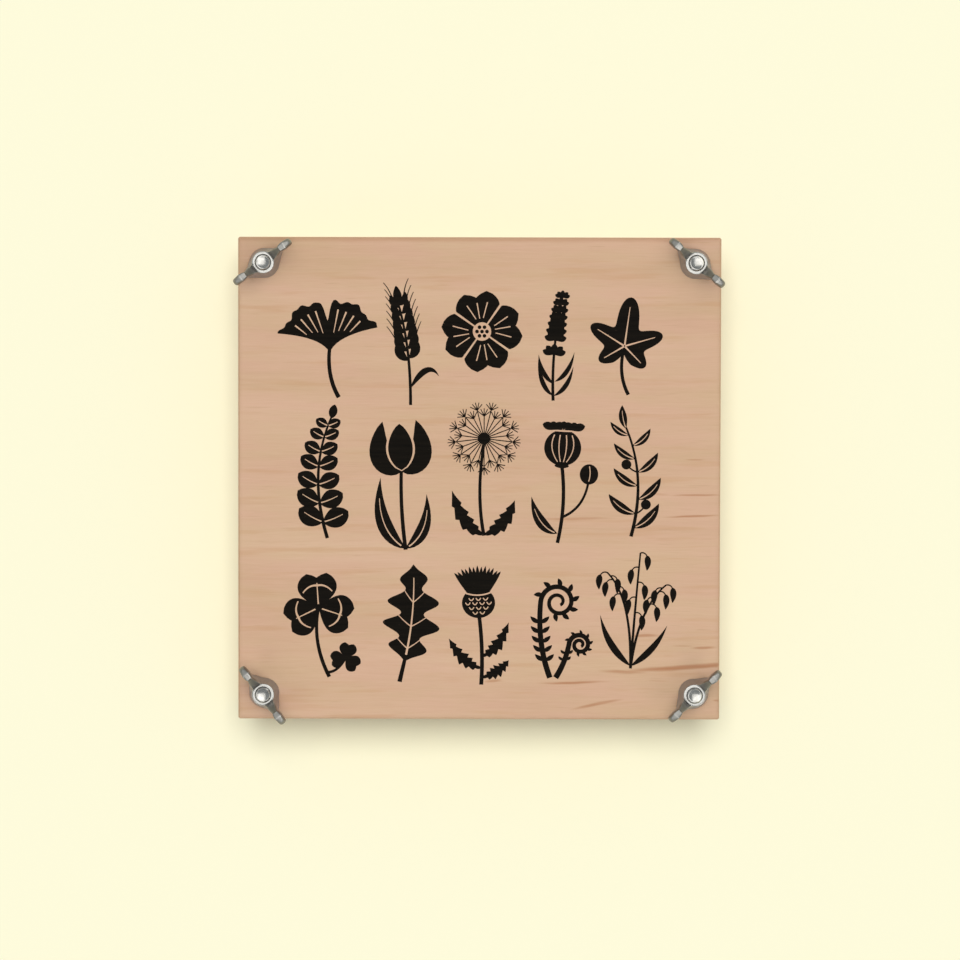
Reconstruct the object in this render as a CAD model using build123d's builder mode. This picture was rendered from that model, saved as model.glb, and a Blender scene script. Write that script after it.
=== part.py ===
from build123d import *
import math
import os

# Flower press: two square maple boards squeeze a stack of corrugated cardboard and blotting paper.
# Four hexagon bolts stand in the bottom board, and wing nuts on them draw the top board down.
# Millimetres. Origin: centre of the underside of the bottom board. +Z is up, +Y is the back.

# Boards
board_side = 203.2
board_thickness = 12.7
board_edge_chamfer = 0.6
bolt_inset = 11.0
bolt_hole_clearance = 0.4

# Hexagon bolts
thread_diameter = 6.35
bolt_proud = 1.4
bolt_end_chamfer = 0.7
head_flats = 11.1
head_height = 4.0
head_chamfer = 0.6
head_recess = 1.0
pocket_clearance = 0.35

# Wing nuts
hub_base_diameter = 12.6
hub_top_diameter = 9.1
hub_height = 8.0
nut_bore_clearance = 0.06
wing_span = 29.6
wing_height = 14.4
wing_root_reach = 4.0
wing_root_low = 1.6
wing_root_high = 6.4
wing_foot_reach = 7.2
wing_crest_reach = 9.4
wing_crest_bevel = 0.9
wing_tip_height = 10.6
wing_tip_radius = 3.4
wing_neck_width = 2.4
wing_ear_width = 3.4
wing_edge_chamfer = 0.7
web_reach = 8.8
web_low = 0.8
web_height = 3.6
flare_root_reach = 3.6
flare_root_height = 7.2
flare_root_width = 4.8
flare_neck_reach = 8.3
flare_neck_height = 12.6

# Where each wing nut happened to stop, in degrees about its bolt
nut_angles = {
    "front_left": -52.6,
    "front_right": 44.3,
    "back_left": 37.4,
    "back_right": -40.8,
}

# Sheets
sheet_margin = 4.0
sheet_bolt_gap = 3.4
blotter_thickness = 0.6
blotters_between = 2
cardboard_count = 4
cardboard_thickness = 4.4
liner_thickness = 0.4
medium_thickness = 0.35
flute_pitch = 9.4
flute_flank_run = 2.4

# A cut runs past the surface it opens by this much
overrun = 1.0

# Places that follow from the sizes above
thread_radius = thread_diameter / 2
bolt_hole_radius = thread_radius + bolt_hole_clearance
bolt_spacing = board_side - 2 * bolt_inset
bolt_reach = bolt_spacing / 2
corners = {
    "front_left": (-bolt_reach, -bolt_reach),
    "front_right": (bolt_reach, -bolt_reach),
    "back_left": (-bolt_reach, bolt_reach),
    "back_right": (bolt_reach, bolt_reach),
}
head_seat = head_recess + head_height
blotter_count = blotters_between * (cardboard_count - 1)
stack_height = cardboard_count * cardboard_thickness + blotter_count * blotter_thickness
stack_base = board_thickness
top_board_base = stack_base + stack_height
nut_seat = top_board_base + board_thickness
bolt_length = nut_seat + hub_height + bolt_proud - head_seat
sheet_side = board_side - 2 * sheet_margin
# The cut corner of a sheet passes the bolt at sheet_bolt_gap
corner_cut = sheet_side - bolt_spacing + math.sqrt(2) * (thread_radius + sheet_bolt_gap)


def place(part, label, location):
    """Put a copy of a piece at its place, label it and write its file."""
    piece = part.moved(location)
    piece.label = label
    export_step(piece, f"parts/{label}.step")


def sheet_outline():
    """The square of a sheet, with its corners cut off around the bolts, in the open sketch."""
    square = Rectangle(sheet_side, sheet_side)
    chamfer(square.vertices(), corner_cut)


os.makedirs("parts", exist_ok=True)

# Bottom board: each bolt hole opens below into a pocket that keeps the bolt's head from turning
with BuildPart() as bottom_board:
    with BuildSketch():
        Rectangle(board_side, board_side)
    extrude(amount=board_thickness)
    chamfer(bottom_board.edges(), board_edge_chamfer)
    with BuildSketch():
        with GridLocations(bolt_spacing, bolt_spacing, 2, 2):
            RegularPolygon(head_flats / 2 + pocket_clearance, 6, major_radius=False)
    extrude(amount=head_seat, mode=Mode.SUBTRACT)
    with GridLocations(bolt_spacing, bolt_spacing, 2, 2):
        Hole(bolt_hole_radius)
bottom_board.part.label = "bottom_board"
export_step(bottom_board.part, "parts/bottom_board.step")

# Top board: plain clearance holes, so that it slides on the bolts
with BuildPart() as top_board:
    with BuildSketch(Plane.XY.offset(top_board_base)):
        Rectangle(board_side, board_side)
    extrude(amount=board_thickness)
    chamfer(top_board.edges(), board_edge_chamfer)
    with GridLocations(bolt_spacing, bolt_spacing, 2, 2):
        Hole(bolt_hole_radius)
top_board.part.label = "top_board"
export_step(top_board.part, "parts/top_board.step")

# Hexagon bolt, drawn with the seat of its head at z = 0
with BuildPart() as hex_bolt:
    with BuildSketch(Plane.XY.offset(-head_height)):
        RegularPolygon(head_flats / 2, 6, major_radius=False)
    extrude(amount=head_height)
    chamfer(hex_bolt.faces().sort_by(Axis.Z)[0].edges(), head_chamfer)
    with BuildSketch():
        Circle(thread_radius)
    extrude(amount=bolt_length)
    chamfer(hex_bolt.edges().sort_by(Axis.Z)[-1], bolt_end_chamfer)

# One wing, drawn towards +X: its side view and its top view meet in one blade
with BuildPart() as wing:
    with BuildSketch(Plane.XZ):
        Polygon(
            (wing_root_reach, wing_root_low),
            (wing_foot_reach, wing_root_low),
            (wing_crest_reach, wing_height),
            (wing_crest_reach - wing_crest_bevel, wing_height - wing_crest_bevel),
            (wing_root_reach, wing_root_high),
            align=None,
        )
        with Locations((wing_span / 2 - wing_tip_radius, wing_tip_height)):
            Circle(wing_tip_radius)
        make_hull()
    extrude(amount=wing_ear_width, both=True)
    with BuildSketch():
        Polygon(
            (wing_root_reach, -wing_neck_width / 2),
            (wing_span / 2, -wing_ear_width / 2),
            (wing_span / 2, wing_ear_width / 2),
            (wing_root_reach, wing_neck_width / 2),
            align=None,
        )
    extrude(amount=wing_height + overrun, mode=Mode.INTERSECT)
    wing_cheeks = wing.faces().filter_by(GeomType.PLANE).sort_by(SortBy.AREA)[-2:]
    chamfer(wing_cheeks.edges(), wing_edge_chamfer)

# The wing's root flares down to the hub: a steep face, wide at the hub and narrow at the neck
with BuildPart() as flare:
    with BuildSketch(Plane.XZ):
        Polygon(
            (flare_root_reach, web_low),
            (flare_neck_reach, web_low),
            (flare_neck_reach, flare_neck_height),
            (flare_root_reach, flare_root_height),
            align=None,
        )
    extrude(amount=flare_root_width, both=True)
    with BuildSketch():
        Polygon(
            (flare_root_reach, -flare_root_width / 2),
            (flare_neck_reach, -wing_neck_width / 2),
            (flare_neck_reach, wing_neck_width / 2),
            (flare_root_reach, flare_root_width / 2),
            align=None,
        )
    extrude(amount=flare_neck_height + overrun, mode=Mode.INTERSECT)

# The web draws the hub out into the wings: its sides leave the hub's edge at a tangent
hub_base_radius = hub_base_diameter / 2
web_angle = math.atan2(wing_neck_width / 2, web_reach)
web_angle += math.acos(hub_base_radius / math.hypot(web_reach, wing_neck_width / 2))
web_quarter = (
    (web_reach, wing_neck_width / 2),
    (hub_base_radius * math.cos(web_angle), hub_base_radius * math.sin(web_angle)),
)
web_back = [*web_quarter, *((-x, y) for x, y in reversed(web_quarter))]
web_outline = [*web_back, *((-x, -y) for x, y in web_back)]

# Wing nut, drawn with its seat at z = 0
with BuildPart() as wing_nut:
    with BuildSketch(Plane.XZ):
        Polygon(
            (0, 0),
            (hub_base_radius, 0),
            (hub_top_diameter / 2, hub_height),
            (0, hub_height),
            align=None,
        )
    revolve(axis=Axis.Z)
    with BuildSketch(Plane.XY.offset(web_low)):
        Polygon(*web_outline, align=None)
    extrude(amount=web_height)
    for half in (wing.part, flare.part):
        add(half)
        add(mirror(half, about=Plane.YZ, mode=Mode.PRIVATE))
    Hole(thread_radius + nut_bore_clearance)

for corner, (x, y) in corners.items():
    place(hex_bolt.part, f"hex_bolt_{corner}", Location((x, y, head_seat)))
    turned = Location((x, y, nut_seat), (0, 0, nut_angles[corner]))
    place(wing_nut.part, f"wing_nut_{corner}", turned)

# Corrugated cardboard: two liners with a fluted medium between them, so the flutes are channels along Y
flute_height = cardboard_thickness - 2 * liner_thickness
channel_height = flute_height - medium_thickness
flank_length = math.hypot(flute_flank_run, channel_height)
flank_overlap = flute_flank_run * (1 - medium_thickness / channel_height)
flank_wall = medium_thickness * flank_length / channel_height
crest_width = flute_pitch / 2 - flank_overlap - flank_wall
channel_width = crest_width + 2 * flute_flank_run
# The flutes run on past the side edges, which cut through them
channel_count = math.ceil(sheet_side / flute_pitch) + 1
with BuildPart() as cardboard:
    with BuildSketch():
        sheet_outline()
    extrude(amount=cardboard_thickness)
    with BuildSketch(Plane.XZ):
        for side, base, shift in (
            (1, liner_thickness, -flute_pitch / 4),
            (-1, cardboard_thickness - liner_thickness, flute_pitch / 4),
        ):
            with Locations((shift, 0)):
                with GridLocations(flute_pitch, 0, channel_count, 1):
                    Polygon(
                        (-channel_width / 2, base),
                        (channel_width / 2, base),
                        (crest_width / 2, base + side * channel_height),
                        (-crest_width / 2, base + side * channel_height),
                        align=None,
                    )
    extrude(amount=sheet_side / 2 + overrun, both=True, mode=Mode.SUBTRACT)

with BuildPart() as blotting_paper:
    with BuildSketch():
        sheet_outline()
    extrude(amount=blotter_thickness)

# The stack: cardboard at the bottom, at the top and between each pair of blotters
level = stack_base
blotter_number = 0
for cardboard_number in range(1, cardboard_count + 1):
    place(cardboard.part, f"cardboard_{cardboard_number}", Location((0, 0, level)))
    level += cardboard_thickness
    if cardboard_number < cardboard_count:
        for _ in range(blotters_between):
            blotter_number += 1
            place(blotting_paper.part, f"blotting_paper_{blotter_number}", Location((0, 0, level)))
            level += blotter_thickness
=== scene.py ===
"""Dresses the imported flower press: maple boards with a botanical print, zinc-plated wing nuts and bolts,
corrugated cardboard and blotting paper. Metres, in the frame of the solids; +Z up, +Y to the back."""

import random
from contextlib import contextmanager
from math import atan, ceil, cos, exp, hypot, log, pi, radians, sin, sqrt, tan

import bmesh
import bpy
from mathutils import Euler, Matrix, Vector
from mathutils.geometry import delaunay_2d_cdt


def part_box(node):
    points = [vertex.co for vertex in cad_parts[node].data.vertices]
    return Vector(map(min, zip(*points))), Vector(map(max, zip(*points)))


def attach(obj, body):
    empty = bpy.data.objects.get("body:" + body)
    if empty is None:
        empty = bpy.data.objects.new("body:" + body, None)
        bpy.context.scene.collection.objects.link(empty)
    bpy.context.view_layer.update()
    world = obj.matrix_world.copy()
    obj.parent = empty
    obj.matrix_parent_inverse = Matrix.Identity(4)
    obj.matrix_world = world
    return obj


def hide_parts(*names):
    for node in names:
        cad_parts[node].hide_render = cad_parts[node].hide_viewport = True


MM = 0.001
CARDBOARDS = {f"cardboard_{i}": f"layer_{i}" if i > 1 else "base" for i in range(1, 5)}  # node and body
BLOTTERS = tuple(f"blotting_paper_{i}" for i in range(1, 7))

# The photograph's frame: the camera looks down on the press, nearly straight
CAMERA_DISTANCE = 1.25  # from the top board
CAMERA_AIM = (0.0003, -0.0005)
CAMERA_LEAN = 1.97  # degrees from straight above, to the back
CAMERA_ROLL = 0.13  # degrees
FRAME_WIDTH = 0.4046  # seen across the picture at the top board
SENSOR_WIDTH = 36.0

# Sizes of the wing nuts, in millimetres about the middle of their seat
NUT_ANGLES = {"front_left": -52.6, "front_right": 44.3, "back_left": 37.4, "back_right": -40.8}
CORNERS = tuple(NUT_ANGLES)
HUB_BASE_RADIUS = 6.3
HUB_TOP_RADIUS = 4.55
HUB_HEIGHT = 8.0
HUB_RIM = 0.3  # height of the upright rim at its foot
HUB_COLUMNS = 48
SEAT_STOCK = 0.6  # left below the seat, and faced off
TOP_STOCK = (0.1, 0.06)  # left around and above the hub's top, which shrinks as it is smoothed
BORE_RADIUS = 3.235
BORE_LEAD = (0.22, 0.3)  # width and depth of the lead-in
FACED_RADIUS = 4.05
TOOL_OVERRUN = (1.0, 2.5)  # below the seat and above the faced top
TOOL_COLUMNS = 64
EYE_FOOT = (8.8, 1.2, 0.8)  # reach, half-width, height: the hub's foot is drawn out into an eye
EYE_TOP = ((8.3, 0.5, 8.0), (4.4, 2.0, 7.6))
STALK_HALF_WIDTH = 1.15
STALK_SIDE = ((4.0, 1.6), (7.2, 1.6), (12.0, 8.0), (10.5, 12.0), (8.6, 13.0), (4.3, 7.0))  # reach, height
FLARE = ((3.7, 2.3, 7.8), (8.3, 1.1, 12.8), (9.0, 1.2, 1.5), (5.0, 3.4, 1.0))  # reach, half-width, height
EAR_CREST = (11.1, 13.6, 0.8)  # reach, height, radius
EAR_TIP = (12.1, 10.75, 2.75)
EAR_ROOT = ((9.2, 7.8), (8.5, 13.5))  # reach, height of its heel and its shoulder
# half-width, and how far the crest, the tip and the root are drawn in there
EAR_LAYERS = ((0.45, 0.0, 0.0, 0.0), (1.0, 0.0, 0.15, 0.0), (1.4, 0.1, 0.5, 0.8), (1.6, 0.3, 1.1, 1.8))
EAR_STEPS = 24
NUT_VOXEL = 0.2
NUT_MERGE = 0.02  # nearer points become one
NUT_SMOOTHING = 4
SMOOTHING_STEP = 0.5
FILLET_HOLLOW = 0.03  # how far the skin bends inward where it gets a fillet
FILLET_RINGS = 3  # of points round such a place that are smoothed with it
FILLET_ROUNDS = 30
NUT_SHARP = 38.0  # degrees from which an edge stays hard

# Sizes of the bolts, in millimetres above the seat of the head
BOLT_LENGTH = 51.0
BOLT_COLUMNS = 48
BOLT_SHARP = 40.0  # degrees
SHANK_SUNK = 1.0  # into the head
SHANK_UNDERCUT = 0.15  # of its plain start
THREAD_RADIUS = 3.175
THREAD_PITCH = 1.27
THREAD_DEPTH = 0.7
THREAD_CREST_SHARE = 0.125  # of the pitch
THREAD_FLANK_SHARE = 0.3125
THREAD_START = 6.4
THREAD_RUN_OUT = 0.4
THREAD_ROWS = 10  # per pitch
END_CHAMFER = 0.45
DISH_RADIUS = 2.7
DISH_CURVE = 12.5  # radius of the hollow in the bolt's end
DISH_ROWS = 8
HEAD_FLATS = 11.1
HEAD_HEIGHT = 4.0
HEAD_FACE_SHARE = 0.96  # of the flats, across the face inside the chamfer
HEAD_CHAMFER_ANGLE = 30.0
HEAD_CHAMFER_ROWS = 6
HEAD_COLUMNS = 72

# Sizes of the cardboard, in millimetres
LINER = 0.34
MEDIUM = 0.3
MEDIUM_INSET = 0.1  # behind the edge of the liners
FLUTE_PITCH = 9.4
FLUTE_STEPS = 18  # per pitch
EDGE_STEP = 3.0
EDGE_ROUGHNESS = 0.12
EDGE_TOLERANCE = 0.02
CARDBOARD_SEED = 41

# Sizes of the print, in millimetres
FILM_PROUD = 0.03
FILM_SUNK = 0.03
POINT_WIDTH = 0.001  # a shape narrower than this ends in one point
POINT_MERGE = 0.0001


# Materials


def srgb(red, green, blue):
    """A colour from 0-255 screen values, for a shader's socket."""

    def linear(c):
        c /= 255
        return c / 12.92 if c <= 0.04045 else ((c + 0.055) / 1.055) ** 2.4

    return (linear(red), linear(green), linear(blue), 1.0)


class Shader:
    """A material whose nodes are each made and joined in one call."""

    def __init__(self, name):
        self.material = bpy.data.materials.new(name)
        self.material.use_nodes = True
        self.tree = self.material.node_tree
        self.tree.nodes.clear()

    def add(self, kind, values=(), **settings):
        """A node; values go to its sockets by name or number, as a link or a plain value."""
        node = self.tree.nodes.new("ShaderNode" + kind)
        for key, value in settings.items():
            setattr(node, key, value)
        for key, value in dict(values).items():
            if isinstance(value, bpy.types.NodeSocket):
                self.tree.links.new(value, node.inputs[key])
            else:
                node.inputs[key].default_value = value
        return node

    def coordinates(self):
        """Place and normal in the frame of the solids."""
        outputs = self.add("TexCoord").outputs
        return outputs["Object"], outputs["Normal"]

    def split(self, vector):
        """The X, Y and Z of a vector."""
        return self.add("SeparateXYZ", {0: vector}).outputs

    def math(self, operation, a, b=0.0, c=0.0):
        return self.add("Math", {0: a, 1: b, 2: c}, operation=operation).outputs[0]

    def times(self, a, b):
        return self.math("MULTIPLY", a, b)

    def scaled(self, value, factor, base):
        """A value times a factor, on top of a base."""
        return self.math("MULTIPLY_ADD", value, factor, base)

    def vector(self, operation, a, b=(0, 0, 0)):
        node = self.add("VectorMath", {0: a, 1: b}, operation=operation)
        return node.outputs["Value" if operation == "LENGTH" else "Vector"]

    def noise(self, place, stretch, detail=2.0, roughness=0.5, distortion=0.0):
        """Noise with so many features per metre along each axis."""
        place = self.vector("MULTIPLY", place, stretch)
        values = dict(Vector=place, Scale=1.0, Detail=detail, Roughness=roughness, Distortion=distortion)
        return self.add("TexNoise", values).outputs[0]

    def ease(self, value, low, high, start=0.0, end=1.0):
        """A smooth step from start, where value is at low, to end, where it is at high."""
        values = {0: value, 1: low, 2: high, 3: start, 4: end}
        return self.add("MapRange", values, interpolation_type="SMOOTHSTEP").outputs[0]

    def ramp(self, value, stops):
        """A colour that runs through stops of (value, colour)."""
        node = self.add("ValToRGB", {0: value})
        elements = node.color_ramp.elements
        while len(elements) < len(stops):
            elements.new(0.5)
        for element, (position, colour) in zip(elements, stops):
            element.position = position
            element.color = colour
        return node.outputs[0]

    def mix(self, share, a, b):
        return self.add("Mix", {0: share, 6: a, 7: b}, data_type="RGBA").outputs[2]

    def bump(self, height, distance, strength):
        return self.add("Bump", dict(Height=height, Distance=distance, Strength=strength)).outputs[0]

    def surface(self, colour, roughness, normal, specular=0.5, metallic=0.0):
        values = {
            "Base Color": colour,
            "Metallic": metallic,
            "Roughness": roughness,
            "Specular IOR Level": specular,
            "Normal": normal,
        }
        self.output(self.add("BsdfPrincipled", values))
        return self.material

    def output(self, shader):
        self.add("OutputMaterial", {"Surface": shader.outputs[0]})


MAPLE_TONES = ((0.30, srgb(193, 153, 121)), (0.64, srgb(209, 172, 141)), (0.92, srgb(219, 185, 155)))
MAPLE_TINTS = ((0.34, srgb(215, 173, 148)), (0.66, srgb(207, 177, 139)))
MAPLE_WISP = srgb(199, 154, 116)
MAPLE_FLECK = srgb(182, 142, 110)
MAPLE_STREAK = srgb(180, 128, 91)
MAPLE_END = srgb(168, 126, 93)
MAPLE_RIM_DARK = srgb(168, 131, 98)
MAPLE_RELIEF = 0.05 * MM
GRAIN_SWAY = 5.0 * MM
RING_HEART = (0, 0.16, -0.24)  # the middle of the yearly rings, far below one side of the board
RINGS_PER_METRE = 330.0
DARK_RIM_WIDTH = 2.2 * MM
BOTTOM_SHIFT = (0.83, 0.41, 0.13)  # the bottom board is cut from another place in the wood
STREAK_SWAY = 1.6 * MM
# Mineral streaks in the boards, the first a long darker band along the back edge: middle x and y (mm),
# slope, half length, half width (mm), strength
TOP_STREAKS = (
    (0, 101.4, 0, 300, 2.6, 0.4),
    (8, 100.2, 0, 46, 0.6, 0.4),
    (91, 8.2, 0, 5.5, 0.45, 0.65),
    (45, 7.4, 0, 4.5, 0.5, 0.45),
    (74, -6.2, -0.05, 9, 0.7, 0.4),
    (92, -6.7, 0, 14, 0.6, 0.9),
    (40, -16.6, 0, 21, 0.8, 0.5),
    (90, -15.6, 0.03, 15, 0.65, 0.85),
    (70, -66.1, 0.02, 8.5, 0.9, 0.85),
    (86, -70.4, -0.03, 6, 0.6, 0.35),
    (95, -71.2, 0.02, 7, 0.85, 0.8),
    (61, -81.5, -0.02, 13, 1.1, 0.7),
    (88, -79.4, 0.066, 36, 1.5, 1),
    (76, -85.2, 0, 6.5, 0.4, 0.3),
    (40, -86, 0.02, 18, 0.8, 0.9),
    (6, -85.5, 0.1, 5, 0.9, 0.6),
    (50, -95.2, 0.19, 13, 1, 0.9),
    (101, -93.6, 0, 3, 0.6, 0.7),
)
BOTTOM_STREAKS = (
    (-52, 41, 0.02, 17, 0.5, 0.6),
    (38, -62, 0.05, 14, 0.6, 0.7),
)


def maple(name, shift, streaks, half_side):
    """Pale hard maple with its grain along X, solid through the board so that its ends show end grain."""
    s = Shader(name)
    place, normal = s.coordinates()
    moved = s.vector("ADD", place, shift)
    # the grain sways a little on its way along the board
    sway = s.noise(moved, (9, 26, 26))
    offset = s.add("CombineXYZ", {1: s.scaled(sway, GRAIN_SWAY, -GRAIN_SWAY / 2)}).outputs[0]
    grain = s.vector("ADD", moved, offset)
    broad = s.noise(grain, (5, 42, 42))
    fibre = s.noise(grain, (24, 620, 620), detail=3, roughness=0.6)
    fine = s.noise(grain, (110, 2600, 2600))
    from_heart = s.vector("MULTIPLY", s.vector("SUBTRACT", grain, RING_HEART), (0, 1, 1))
    rings = s.math("FRACT", s.times(s.vector("LENGTH", from_heart), RINGS_PER_METRE))
    tone = s.scaled(broad, 0.76, -0.09)
    tone = s.scaled(fibre, 0.34, tone)
    tone = s.scaled(fine, 0.38, tone)
    tone = s.scaled(s.ease(rings, 0.55, 1), -0.04, tone)
    colour = s.ramp(tone, MAPLE_TONES)
    # a faint play of pink and yellow
    tint = s.ramp(s.noise(moved, (26, 120, 120)), MAPLE_TINTS)
    colour = s.mix(0.4, colour, tint)
    # orange wisps and thin dark flecks along the grain
    wisps = s.noise(grain, (20, 270, 270), detail=3, roughness=0.55)
    colour = s.mix(s.ease(wisps, 0.54, 0.72, 0, 0.42), colour, MAPLE_WISP)
    flecks = s.noise(grain, (70, 1500, 1500), detail=1)
    colour = s.mix(s.ease(flecks, 0.66, 0.8, 0, 0.3), colour, MAPLE_FLECK)
    # mineral streaks, on the broad faces alone
    facing = s.split(s.vector("ABSOLUTE", normal))
    spot = s.split(place)
    wobble = s.scaled(s.noise(moved, (45, 0, 0)), STREAK_SWAY, -STREAK_SWAY / 2)
    swayed = s.math("ADD", spot[1], wobble)
    marks = 0
    for x, y, slope, half_length, half_width, strength in streaks:
        along = s.math("SUBTRACT", spot[0], x * MM)
        across = s.scaled(along, -slope, s.math("SUBTRACT", swayed, y * MM))
        away = s.add("CombineXYZ", {0: along, 1: across}).outputs[0]
        away = s.vector("DIVIDE", away, (half_length * MM, half_width * MM, 1))
        mark = s.ease(s.vector("LENGTH", away), 0.25, 1, strength, 0)
        marks = s.math("MAXIMUM", marks, mark)
    broken = s.times(marks, s.ease(fibre, 0.3, 0.6, 0.7, 1))
    broken = s.times(broken, s.ease(facing[2], 0.5, 0.9))
    colour = s.mix(broken, colour, MAPLE_STREAK)
    # end grain is darker, and the colour darkens in a noisy rim along the board's edges
    colour = s.mix(s.ease(facing[0], 0.6, 0.9, 0, 0.55), colour, MAPLE_END)
    sides = s.split(s.vector("ABSOLUTE", place))
    rim = s.math("MAXIMUM", sides[0], sides[1])
    rubbed = s.ease(rim, half_side - DARK_RIM_WIDTH, half_side, 0, 0.4)
    rim_noise = s.noise(place, (160, 160, 160), detail=3)
    colour = s.mix(s.times(rubbed, rim_noise), colour, MAPLE_RIM_DARK)
    relief = s.scaled(flecks, -0.6, s.scaled(fine, 0.5, fibre))
    return s.surface(colour, s.scaled(fibre, 0.25, 0.45), s.bump(relief, MAPLE_RELIEF, 0.5), 0.3)


ZINC_TONES = ((0.25, srgb(148, 144, 137)), (0.55, srgb(182, 178, 170)), (0.85, srgb(207, 204, 196)))
ZINC_STEEP_PAINTED_LIGHT = srgb(192, 187, 181)
ZINC_UPRIGHT_PAINTED_SHADE = srgb(156, 166, 182)
ZINC_CREST_HIGHLIGHT = srgb(223, 217, 207)
ZINC_ROUND_SHADE = srgb(116, 112, 105)
ZINC_FACED = srgb(207, 204, 197)
ZINC_RELIEF = 0.06 * MM
CREST_HIGHLIGHT_RISE = (3.0 * MM, 4.5 * MM)  # above the faced top
ROUND_SHADE_RISE = (1.0 * MM, 3.0 * MM)
FACED_DEPTH = (0.2 * MM, 0.4 * MM)  # above or below it
NUT_FACED_ROUGHNESS = 0.25
BOLT_FACED_ROUGHNESS = 0.12


def zinc(name, faced_level, faced_roughness):
    """Zinc plating: cloudy grey, brighter on edges and on the faced top, and with painted light and shade:
    darker in the hollows, lighter on steep faces, darker and bluish on upright sides, a painted highlight on
    the ears' crests and painted shade on their rounds.
    """
    s = Shader(name)
    place, normal = s.coordinates()
    clouds = s.noise(place, (260, 260, 260), detail=4, roughness=0.6)
    grain = s.noise(place, (2400, 2400, 2400))
    edges = s.ease(s.add("NewGeometry").outputs["Pointiness"], 0.44, 0.56)
    # the tone is lighter on edges, as wear, and darker in the hollows, as painted shade
    colour = s.ramp(s.scaled(edges, 0.5, s.times(clouds, 0.6)), ZINC_TONES)
    up = s.split(normal)[2]
    # painted light and shade by facing: steep faces lighter, upright sides darker and bluish
    colour = s.mix(s.ease(up, 0.9, 0.5, 0, 0.6), colour, ZINC_STEEP_PAINTED_LIGHT)
    upright = s.ease(s.math("ABSOLUTE", up), 0.5, 0.3, 0, 0.75)
    colour = s.mix(upright, colour, ZINC_UPRIGHT_PAINTED_SHADE)
    # above the faced top, a painted highlight lightens the up-facing crests and painted shade darkens the
    # steeper rounds
    height = s.math("SUBTRACT", s.split(place)[2], faced_level)
    rubbed = s.times(s.ease(height, *CREST_HIGHLIGHT_RISE), s.ease(up, 0.9, 0.95, 0, 0.5))
    colour = s.mix(rubbed, colour, ZINC_CREST_HIGHLIGHT)
    painted_round_shade = s.times(s.ease(height, *ROUND_SHADE_RISE), s.ease(up, 0.9, 0.6, 0, 0.75))
    colour = s.mix(painted_round_shade, colour, ZINC_ROUND_SHADE)
    faced = s.ease(s.math("ABSOLUTE", height), *FACED_DEPTH, 1, 0)
    faced = s.times(faced, s.ease(up, 0.9, 0.98))
    worn = s.times(faced, s.ease(clouds, 0.34, 0.58, 0.35, 1))
    colour = s.mix(worn, colour, ZINC_FACED)
    roughness = s.scaled(edges, -0.08, s.scaled(clouds, 0.22, 0.28))
    faced_roughness = s.scaled(clouds, 0.1, faced_roughness)
    roughness = s.add("Mix", {0: faced, 2: roughness, 3: faced_roughness}).outputs[0]
    relief = s.bump(s.scaled(grain, 0.35, clouds), ZINC_RELIEF, 0.5)
    return s.surface(colour, roughness, relief, metallic=1)


KRAFT_TONES = ((0.3, srgb(150, 112, 74)), (0.55, srgb(180, 140, 98)), (0.8, srgb(202, 166, 124)))
KRAFT_FLECK = srgb(122, 86, 54)
KRAFT_CUT = srgb(120, 84, 52)
KRAFT_RELIEF = 0.08 * MM


def kraft(name):
    """Brown kraft paper of the cardboard, with long fibres and darker cut edges."""
    s = Shader(name)
    place, normal = s.coordinates()
    patches = s.noise(place, (90, 140, 90), detail=4, roughness=0.6)
    fibre = s.noise(place, (900, 260, 900), detail=3, roughness=0.65, distortion=0.6)
    flecks = s.noise(place, (1500, 800, 1500), detail=1)
    colour = s.ramp(s.scaled(fibre, 0.6, s.times(patches, 0.5)), KRAFT_TONES)
    colour = s.mix(s.ease(flecks, 0.66, 0.78, 0, 0.5), colour, KRAFT_FLECK)
    level = s.math("ABSOLUTE", s.split(normal)[2])
    cut = s.ease(level, 0.3, 0.05, 0, 0.35)
    colour = s.mix(s.times(cut, fibre), colour, KRAFT_CUT)
    relief = s.bump(s.math("ADD", fibre, patches), KRAFT_RELIEF, 0.5)
    return s.surface(colour, s.scaled(fibre, 0.15, 0.78), relief, 0.25)


BLOTTER_TONES = ((0.3, srgb(212, 205, 189)), (0.55, srgb(229, 223, 208)), (0.8, srgb(239, 235, 223)))
BLOTTER_CUT = srgb(188, 180, 164)
BLOTTER_RELIEF = 0.07 * MM
BLOTTER_SHIFT = (0.37, 0.21, 0.13)  # from one sheet to the next


def blotting(name, number):
    """Soft unsized blotting paper: matted fibres, off-white, greyer at the rubbed edge."""
    s = Shader(name)
    place, normal = s.coordinates()
    place = s.vector("ADD", place, tuple(number * step for step in BLOTTER_SHIFT))
    clouds = s.noise(place, (120, 120, 120), detail=4, roughness=0.65)
    mat = s.noise(place, (1300, 1300, 1300), detail=3, roughness=0.7, distortion=1.2)
    colour = s.ramp(s.scaled(mat, 0.6, s.times(clouds, 0.5)), BLOTTER_TONES)
    level = s.math("ABSOLUTE", s.split(normal)[2])
    cut = s.ease(level, 0.5, 0.1, 0, 0.5)
    colour = s.mix(s.times(cut, mat), colour, BLOTTER_CUT)
    return s.surface(colour, s.scaled(mat, 0.1, 0.85), s.bump(mat, BLOTTER_RELIEF, 0.6), 0.2)


INK_TONES = ((0.3, srgb(14, 12, 9)), (0.7, srgb(26, 22, 17)))
INK_SPECK = srgb(80, 64, 50)
INK_RELIEF = 0.03 * MM


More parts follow.
